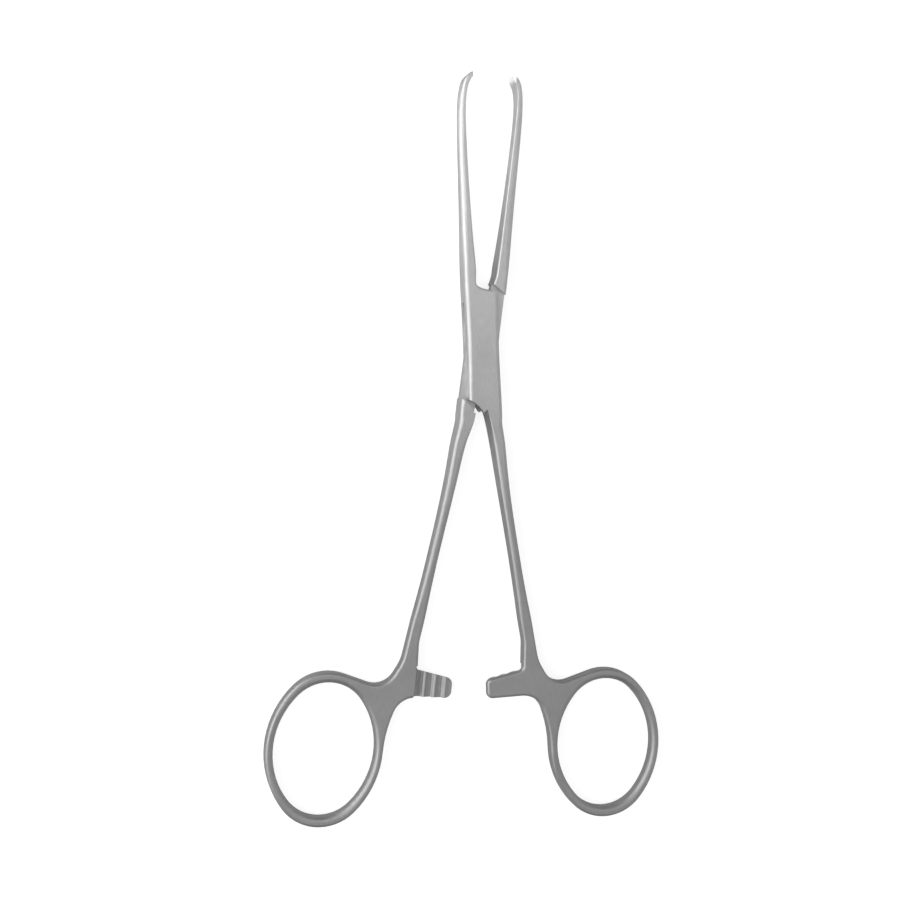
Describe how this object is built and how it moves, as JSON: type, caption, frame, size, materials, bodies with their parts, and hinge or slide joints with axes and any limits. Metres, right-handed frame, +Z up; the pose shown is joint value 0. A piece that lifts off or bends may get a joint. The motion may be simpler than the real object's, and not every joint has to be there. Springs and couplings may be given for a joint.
{
  "type": "tissue forceps",
  "caption": "Ring-handled grasping forceps with a box lock, a ratchet between the handles and slim jaws with toothed, turned-in tips.",
  "frame": {"origin": "on the lock's pivot axis, at the underside of the box lock", "axes": "+Y towards the jaw tips along the middle between the two halves, +Z up along the pivot axis, +X to the side of the box half's ring"},
  "size_m": [0.0844, 0.154, 0.005],
  "materials": {
    "satin_steel": "satin"
  },
  "bodies": {
    "box_side": {"box_half": "satin_steel", "lock_rivet": "satin_steel"},
    "tongue_side": {"tongue_half": "satin_steel"}
  },
  "joints": [
    {"name": "lock_pivot", "type": "hinge", "parent": "box_side", "child": "tongue_side", "pos_m": [0, 0, 0.0025], "axis": [0, 0, 1], "range_deg": [-62, 9]}
  ]
}
